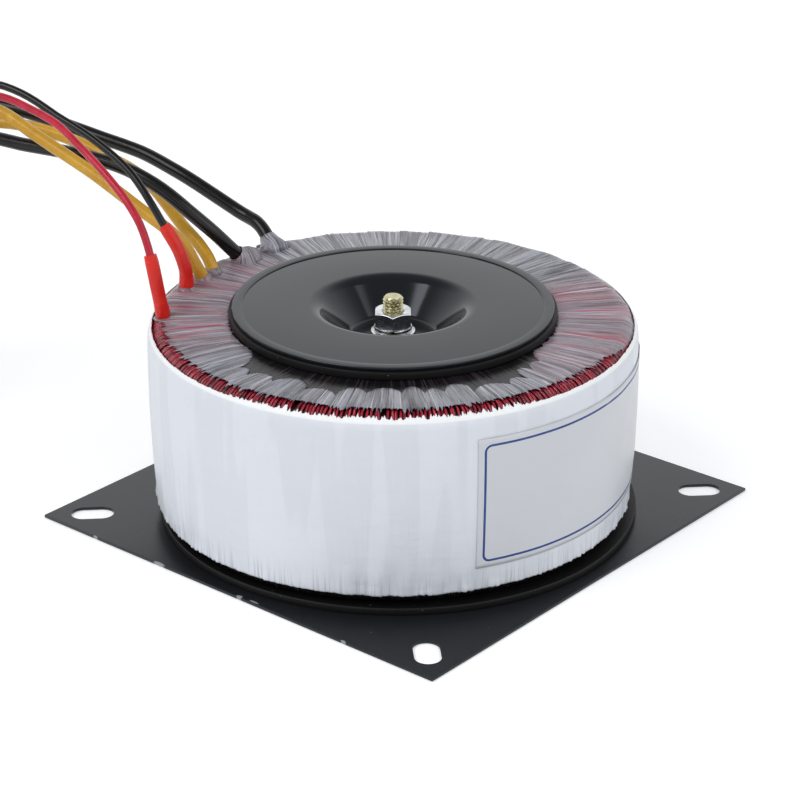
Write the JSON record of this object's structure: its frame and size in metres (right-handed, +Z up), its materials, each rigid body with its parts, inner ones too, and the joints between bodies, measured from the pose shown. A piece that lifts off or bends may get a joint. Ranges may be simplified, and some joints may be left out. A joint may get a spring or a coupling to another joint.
{
  "type": "toroidal transformer",
  "caption": "Ring-shaped mains transformer on a square slotted steel plate, held by a centre bolt through a dished steel washer, with flying leads.",
  "frame": {"origin": "middle of the base plate's underside", "axes": "+Z up, along the centre bolt; +X and +Y along the plate's sides; the leads go off towards -X"},
  "size_m": [0.3759, 0.268, 0.1536],
  "materials": {
    "black_paint": "black paint with a soft sheen",
    "washer_paint": "black paint with a soft sheen",
    "pad_rubber": "plain black rubber",
    "core_steel": "edges of a rolled steel strip",
    "core_tape": "wound tape",
    "primary_wire": "enamelled wire",
    "insulation_film": "wound film",
    "secondary_wire": "red enamelled wire, glossy",
    "clear_film": "clear film in loose pleats",
    "white_film": "white glossy film",
    "label_foil": "pale label with a thin border",
    "yellow_zinc": "yellow zinc plating",
    "bright_zinc": "bright zinc plating",
    "red_insulation": "soft glossy insulation",
    "black_insulation": "soft glossy insulation",
    "yellow_insulation": "soft glossy insulation",
    "red_sleeve": "glossy heat-shrink sleeve",
    "tinned_copper": "tinned wire"
  },
  "bodies": {
    "root": {"base_plate": "black_paint", "top_washer": "washer_paint", "lower_pad": "pad_rubber", "upper_pad": "pad_rubber", "core": "core_steel", "core_wrap": "core_tape", "primary_winding": "primary_wire", "inter_winding_insulation": "insulation_film", "secondary_winding": "secondary_wire", "film_wrap": "clear_film", "outer_band": "white_film", "label": "label_foil", "centre_bolt": "yellow_zinc", "flat_washer": "bright_zinc", "spring_washer": "bright_zinc", "hex_nut": "bright_zinc", "red_lead": "red_insulation", "thin_black_lead": "black_insulation", "yellow_lead_a": "yellow_insulation", "yellow_lead_b": "yellow_insulation", "black_lead_a": "black_insulation", "black_lead_b": "black_insulation", "red_lead_sleeve": "red_sleeve", "thin_black_lead_sleeve": "red_sleeve", "red_lead_end": "tinned_copper", "thin_black_lead_end": "tinned_copper", "yellow_lead_a_end": "tinned_copper", "yellow_lead_b_end": "tinned_copper", "black_lead_a_end": "tinned_copper", "black_lead_b_end": "tinned_copper"}
  },
  "joints": []
}
